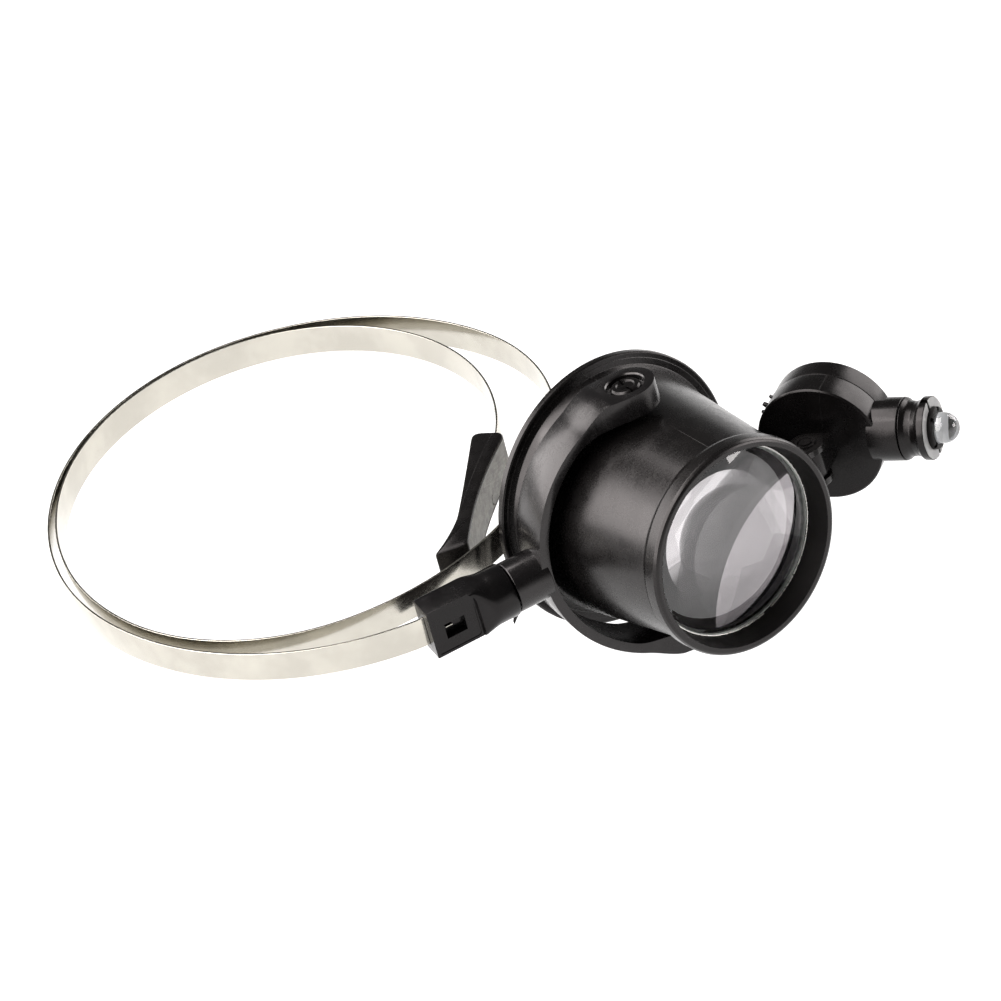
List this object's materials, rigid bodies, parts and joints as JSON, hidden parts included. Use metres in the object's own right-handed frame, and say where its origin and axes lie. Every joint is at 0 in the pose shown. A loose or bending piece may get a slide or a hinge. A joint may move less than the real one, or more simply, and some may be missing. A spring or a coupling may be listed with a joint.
{
  "type": "headband eye loupe",
  "caption": "Headband eye loupe: spring-steel band with pad, swivel yoke, tilting loupe barrel and a fold-out battery lamp on the side.",
  "frame": {"origin": "centre of the loupe's rear eye rim, on the optical axis, in the plane of the rim", "axes": "+Y out of the eye rim towards the head, so the loupe looks along -Y; +Z along the loupe's tilt axis; +X towards the lamp"},
  "size_m": [0.1192, 0.1231, 0.0476],
  "materials": {
    "black_plastic": "satin black moulded ABS with a fine moulding texture",
    "yoke_plastic": "satin black moulded nylon",
    "socket_plastic": "glossy black moulded plastic",
    "lamp_plastic": "satin black moulded ABS",
    "pad_plastic": "satin black moulded plastic, slightly worn on its edges",
    "grip_plastic": "finely ribbed grey-black plastic",
    "pin_plastic": "black moulded plastic",
    "matte_black": "matte black plastic",
    "spacer_plastic": "light grey-green moulded plastic",
    "clear_lens": "clear polished acrylic",
    "clear_epoxy": "water-clear epoxy",
    "dull_steel": "thin dull spring wire",
    "spring_steel": "polished spring steel strip with soft rolling marks",
    "contact_metal": "nickel-plated phosphor bronze",
    "cell_steel": "stainless cell case"
  },
  "bodies": {
    "headband": {"steel_band": "spring_steel", "band_socket": "socket_plastic", "head_pad": "pad_plastic", "pad_grip_plate": "grip_plastic"},
    "yoke": {"yoke": "yoke_plastic"},
    "loupe": {"loupe_barrel": "black_plastic", "front_lens": "clear_lens", "lens_spacer": "spacer_plastic", "rear_lens": "clear_lens", "lens_retaining_ring": "dull_steel", "upper_pivot_pin": "pin_plastic", "lower_pivot_pin": "pin_plastic", "lamp_hinge_pin": "pin_plastic"},
    "lamp": {"lamp_housing": "lamp_plastic", "contact_spring": "contact_metal", "coin_cells": "cell_steel"},
    "battery_cover": {"battery_cover": "lamp_plastic", "contact_plate": "contact_metal"},
    "lamp_head": {"lamp_head": "lamp_plastic", "led": "clear_epoxy", "led_leads": "contact_metal", "led_collar": "matte_black"}
  },
  "joints": [
    {"name": "band_swivel", "type": "hinge", "parent": "headband", "child": "yoke", "pos_m": [0, -0.0129, 0], "axis": [0.9833, -0.1822, 0], "range_deg": [-11, 27]},
    {"name": "loupe_tilt", "type": "hinge", "parent": "yoke", "child": "loupe", "pos_m": [0, -0.0129, 0], "axis": [0, 0, 1], "range_deg": [-2.5, 3]},
    {"name": "lamp_hinge", "type": "hinge", "parent": "loupe", "child": "lamp", "pos_m": [0.0217, -0.0246, 0], "axis": [0, 0, 1], "range_deg": [-50, 3]},
    {"name": "cover_twist", "type": "hinge", "parent": "lamp", "child": "battery_cover", "pos_m": [0.0217, -0.0246, 0], "axis": [0.8572, 0.515, 0], "range_deg": [0, 30]},
    {"name": "lamp_switch", "type": "hinge", "parent": "lamp", "child": "lamp_head", "pos_m": [0.02933, -0.02002, 0], "axis": [0.515, -0.8572, 0], "range_deg": [0, 45]}
  ]
}
